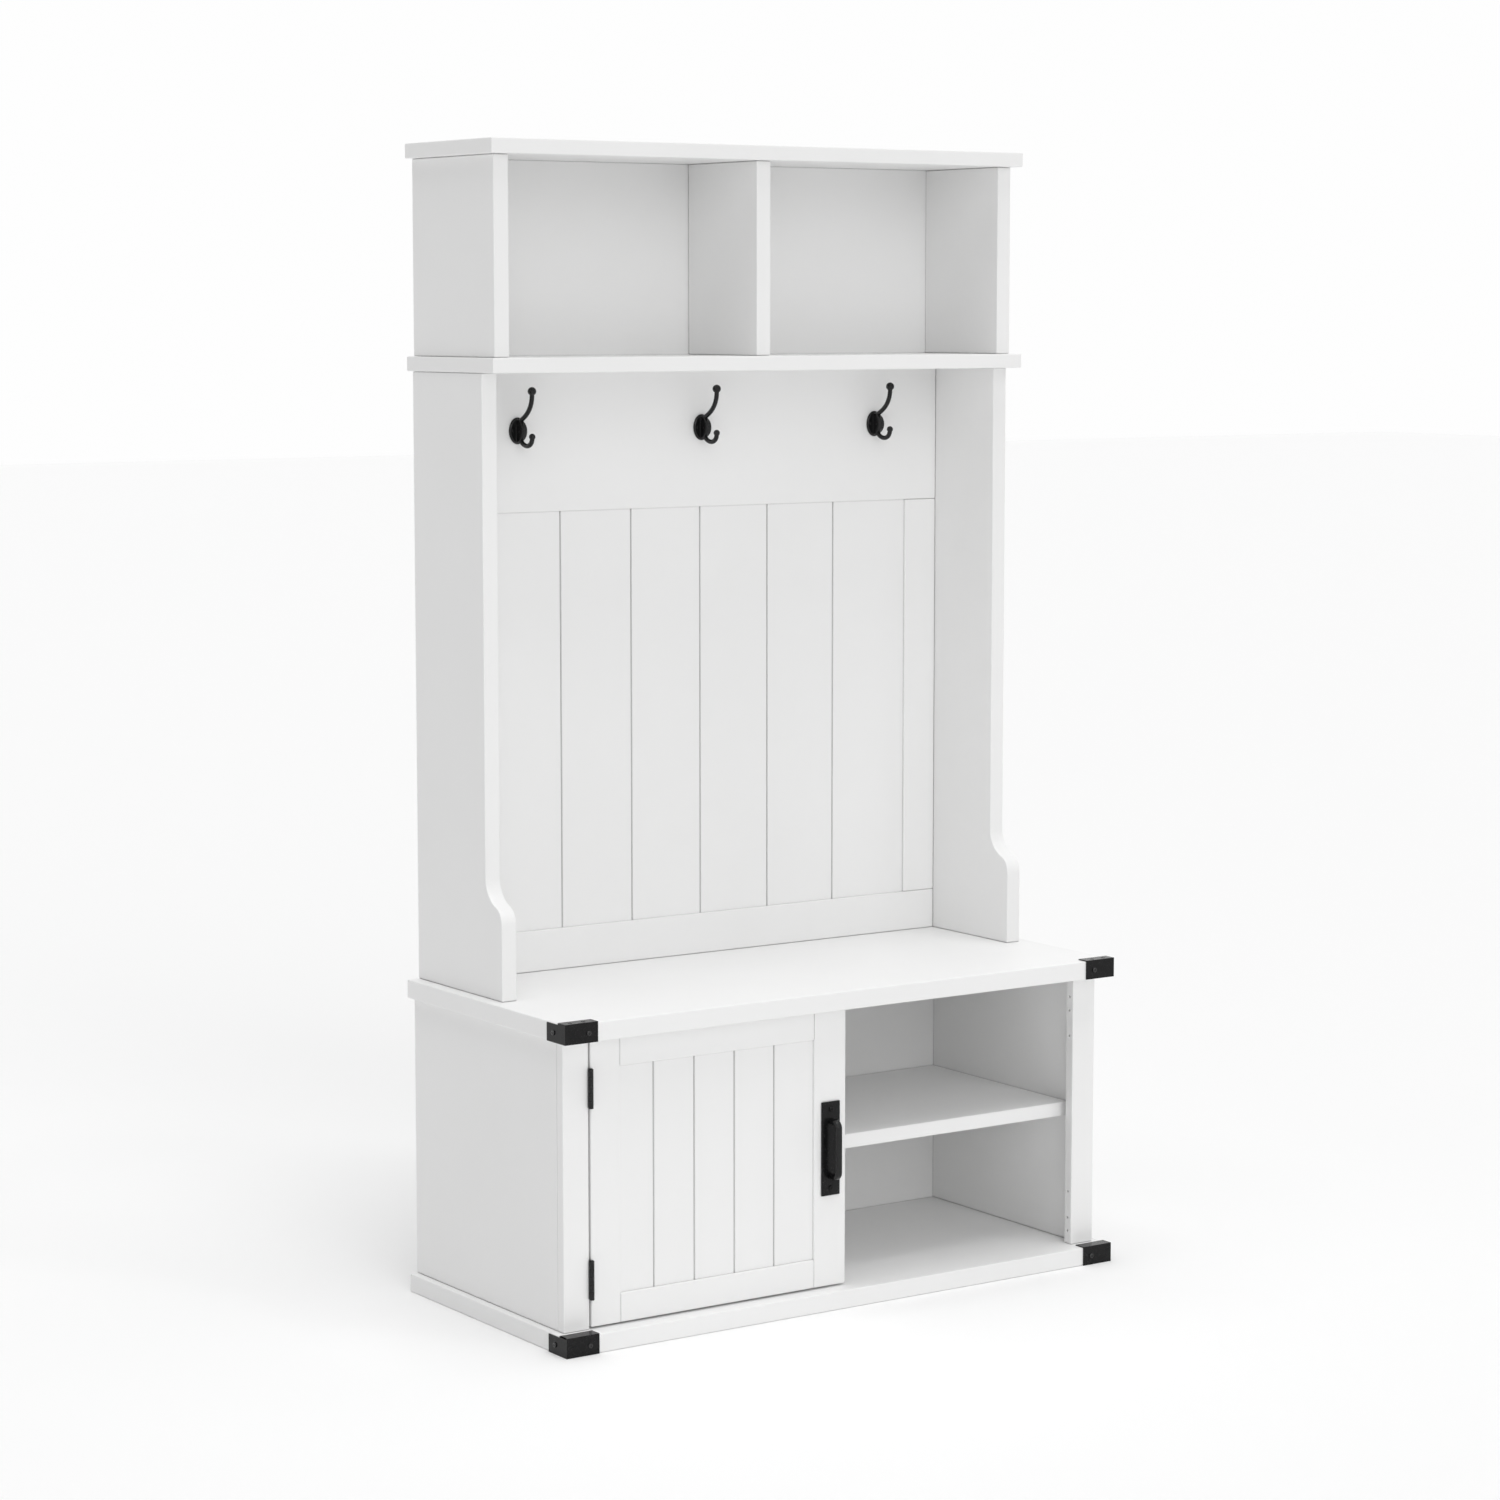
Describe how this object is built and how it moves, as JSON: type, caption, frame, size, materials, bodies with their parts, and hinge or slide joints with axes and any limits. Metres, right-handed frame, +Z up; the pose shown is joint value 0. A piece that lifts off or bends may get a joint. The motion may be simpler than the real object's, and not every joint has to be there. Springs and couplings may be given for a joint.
{
  "type": "hall tree with hooks",
  "caption": "White panelled hall tree: storage bench with a planked door and open shelves, an open hutch with double coat hooks on a rail, and cubbies above.",
  "frame": {"origin": "on the floor, under the middle of the whole outline", "axes": "+Z up, +X to the right of a person facing the front, front towards -Y"},
  "size_m": [1.0078, 0.4738, 1.731],
  "materials": {
    "white_paint": "satin white painted board",
    "black_metal": "matte black powder coat",
    "dark_plastic": "moulded dark plastic",
    "bright_steel": "plain zinc plated steel"
  },
  "bodies": {
    "case": {"base_board": "white_paint", "bench_top": "white_paint", "cabinet_side_left": "white_paint", "cabinet_side_right": "white_paint", "cabinet_back": "white_paint", "centre_divider": "white_paint", "face_stile_left": "white_paint", "face_stile_right": "white_paint", "open_bay_shelf": "white_paint", "door_bay_shelf": "white_paint", "hutch_side_left": "white_paint", "hutch_side_right": "white_paint", "hook_rail": "white_paint", "hutch_lower_rail": "white_paint", "hutch_stile_left": "white_paint", "hutch_stile_right": "white_paint", "hutch_plank_panel": "white_paint", "cubby_shelf_board": "white_paint", "top_board": "white_paint", "cubby_side_left": "white_paint", "cubby_side_right": "white_paint", "cubby_divider": "white_paint", "cubby_back": "white_paint", "hinge_lower_case_leaf": "black_metal", "hinge_lower_pin": "black_metal", "hinge_upper_case_leaf": "black_metal", "hinge_upper_pin": "black_metal", "catch_magnet": "dark_plastic", "coat_hook_left": "black_metal", "coat_hook_middle": "black_metal", "coat_hook_right": "black_metal", "bracket_base_left": "black_metal", "bracket_base_left_front_screw": "black_metal", "bracket_base_left_side_screw": "black_metal", "bracket_base_right": "black_metal", "bracket_base_right_front_screw": "black_metal", "bracket_base_right_side_screw": "black_metal", "bracket_bench_left": "black_metal", "bracket_bench_left_front_screw": "black_metal", "bracket_bench_left_side_screw": "black_metal", "bracket_bench_right": "black_metal", "bracket_bench_right_front_screw": "black_metal", "bracket_bench_right_side_screw": "black_metal"},
    "door": {"door_stile_hinge": "white_paint", "door_stile_lock": "white_paint", "door_rail_top": "white_paint", "door_rail_bottom": "white_paint", "door_panel": "white_paint", "handle_plate": "black_metal", "handle_grip": "black_metal", "handle_screw_lower": "black_metal", "handle_screw_upper": "black_metal", "hinge_lower_door_leaf": "black_metal", "hinge_upper_door_leaf": "black_metal", "catch_strike": "bright_steel"}
  },
  "joints": [
    {"name": "door_hinge", "type": "hinge", "parent": "case", "child": "door", "pos_m": [-0.44325, -0.2091, 0.241], "axis": [0, 0, -1], "range_deg": [0, 170]}
  ]
}
